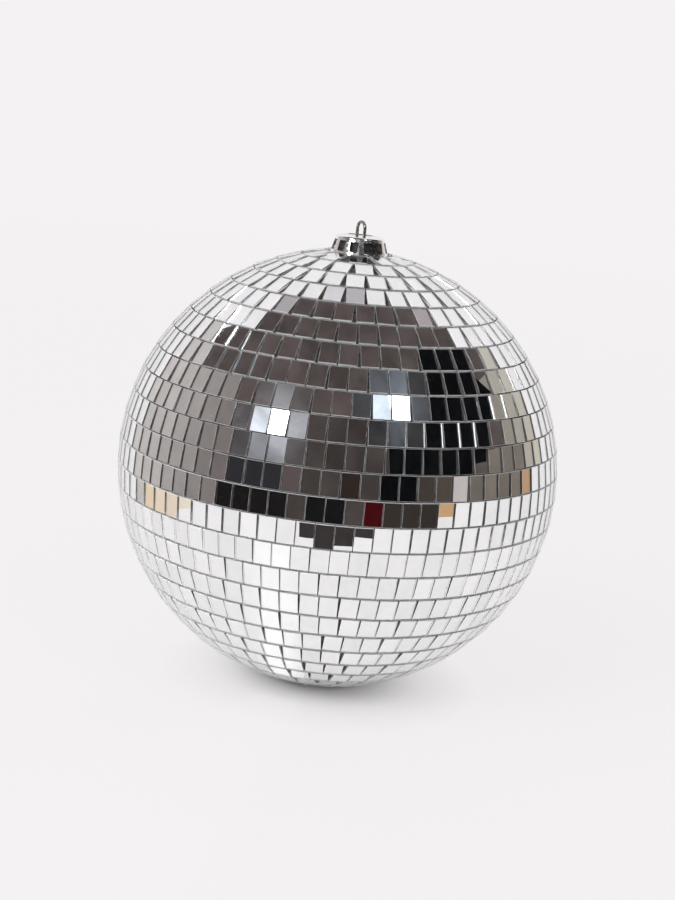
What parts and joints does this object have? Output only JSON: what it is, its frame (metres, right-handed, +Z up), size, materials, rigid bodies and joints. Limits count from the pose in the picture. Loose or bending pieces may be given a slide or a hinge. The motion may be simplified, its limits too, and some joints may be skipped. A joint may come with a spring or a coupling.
{
  "type": "mirror ball",
  "caption": "Hanging mirror ball: a hollow core covered in rows of flat mirror tiles, with a pierced crown cap over its neck and a wire loop to hang it by.",
  "frame": {"origin": "the point on the ball's axis under the top of the wire loop, where a hook bears", "axes": "+Z up along the hanging axis, through the loop, the cap and the ball's centre; the loop lies in the XZ plane"},
  "size_m": [0.2, 0.1999, 0.2128],
  "materials": {
    "mirror_tile": "silvered glass with plain cut edges",
    "cap": "bright plated, thin stamped sheet",
    "wire": "drawn steel wire, semi-bright",
    "core": "moulded, satin, dark grey",
    "backing": "thin adhesive film, dull, dark grey"
  },
  "bodies": {
    "hanger": {"hanger_wire": "wire"},
    "cap": {"crown_cap": "cap"},
    "ball": {"upper_core_shell": "core", "lower_core_shell": "core", "upper_strip_backings": "backing", "lower_strip_backings": "backing", "closing_tiles": "mirror_tile", "tile_row_01": "mirror_tile", "tile_row_02": "mirror_tile", "tile_row_03": "mirror_tile", "tile_row_04": "mirror_tile", "tile_row_05": "mirror_tile", "tile_row_06": "mirror_tile", "tile_row_07": "mirror_tile", "tile_row_08": "mirror_tile", "tile_row_09": "mirror_tile", "tile_row_10": "mirror_tile", "tile_row_11": "mirror_tile", "tile_row_12": "mirror_tile", "tile_row_13": "mirror_tile", "tile_row_14": "mirror_tile", "tile_row_15": "mirror_tile", "tile_row_16": "mirror_tile", "tile_row_17": "mirror_tile", "tile_row_18": "mirror_tile", "tile_row_19": "mirror_tile", "tile_row_20": "mirror_tile", "tile_row_21": "mirror_tile", "tile_row_22": "mirror_tile", "tile_row_23": "mirror_tile", "tile_row_24": "mirror_tile", "tile_row_25": "mirror_tile", "tile_row_26": "mirror_tile"}
  },
  "joints": [
    {"name": "hanger_slide", "type": "slide", "parent": "hanger", "child": "cap", "axis": [0, 0, 1], "range_m": [0, 0.0035]},
    {"name": "neck_turn", "type": "hinge", "parent": "cap", "child": "ball", "pos_m": [0, 0, -0.0135], "axis": [0, 0, 1], "continuous": true}
  ]
}
